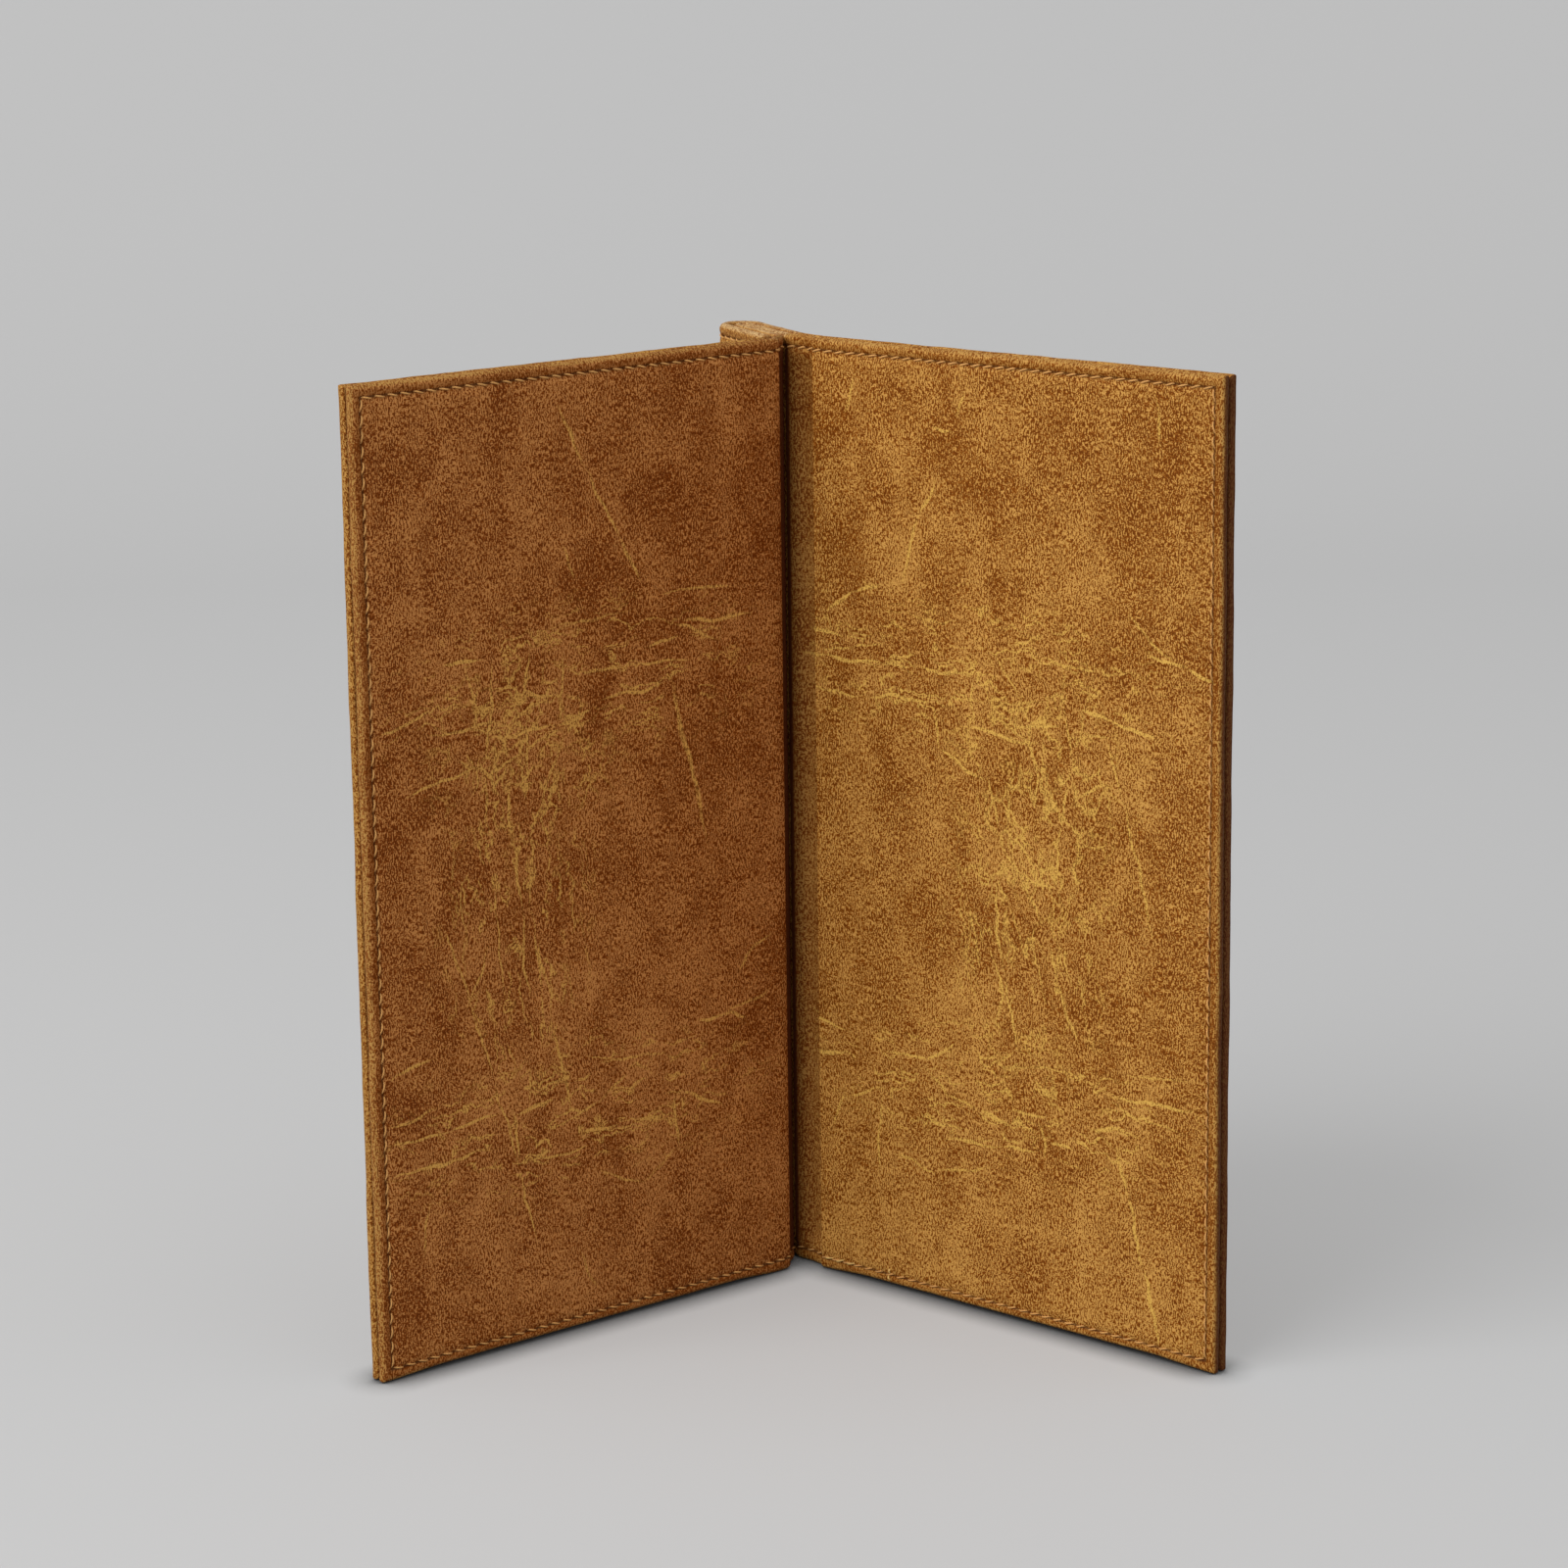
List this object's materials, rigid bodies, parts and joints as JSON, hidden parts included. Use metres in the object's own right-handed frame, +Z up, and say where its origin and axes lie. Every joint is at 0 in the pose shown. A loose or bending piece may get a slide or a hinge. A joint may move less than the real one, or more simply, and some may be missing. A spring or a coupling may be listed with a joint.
{
  "type": "leather notebook cover",
  "caption": "Leather-covered notebook or menu cover for loose sheets: stiff front and back covers on soft leather hinges beside a binding block that screw posts clamp shut.",
  "frame": {"origin": "middle of the open cover's box, on the surface it stands on", "axes": "+Z up along the hinges; the inside of the open cover faces -Y; the front cover is on the -X side and the back cover on the +X side"},
  "size_m": [0.1968, 0.1158, 0.23],
  "materials": {
    "outer_leather": "waxed pull-up leather, matt",
    "lining_leather": "waxed pull-up leather, matt",
    "greyboard": "raw grey board",
    "thread": "twisted sewing thread",
    "brass": "satin brass"
  },
  "bodies": {
    "binding": {"spine_leather": "outer_leather", "spine_lining": "lining_leather", "front_strip_board": "greyboard", "back_strip_board": "greyboard", "lower_post": "brass", "upper_post": "brass", "lower_screw": "brass", "upper_screw": "brass", "spine_top_thread": "thread", "spine_bottom_thread": "thread", "front_hinge_leather": "outer_leather", "front_hinge_lining": "lining_leather", "back_hinge_leather": "outer_leather", "back_hinge_lining": "lining_leather"},
    "front_cover": {"front_outer_leather": "outer_leather", "front_lining": "lining_leather", "front_board": "greyboard", "front_outer_thread": "thread", "front_lining_thread": "thread"},
    "back_cover": {"back_outer_leather": "outer_leather", "back_lining": "lining_leather", "back_board": "greyboard", "back_outer_thread": "thread", "back_lining_thread": "thread"}
  },
  "joints": [
    {"name": "front_hinge", "type": "hinge", "parent": "binding", "child": "front_cover", "pos_m": [-0.00139, 0.02352, 0], "axis": [0, 0, 1], "range_deg": [-46.5, 73.5], "deforming": ["front_hinge_leather", "front_hinge_lining"]},
    {"name": "back_hinge", "type": "hinge", "parent": "binding", "child": "back_cover", "pos_m": [0.00414, 0.02586, 0], "axis": [0, 0, 1], "range_deg": [-25.5, 94.5], "deforming": ["back_hinge_leather", "back_hinge_lining"]}
  ]
}
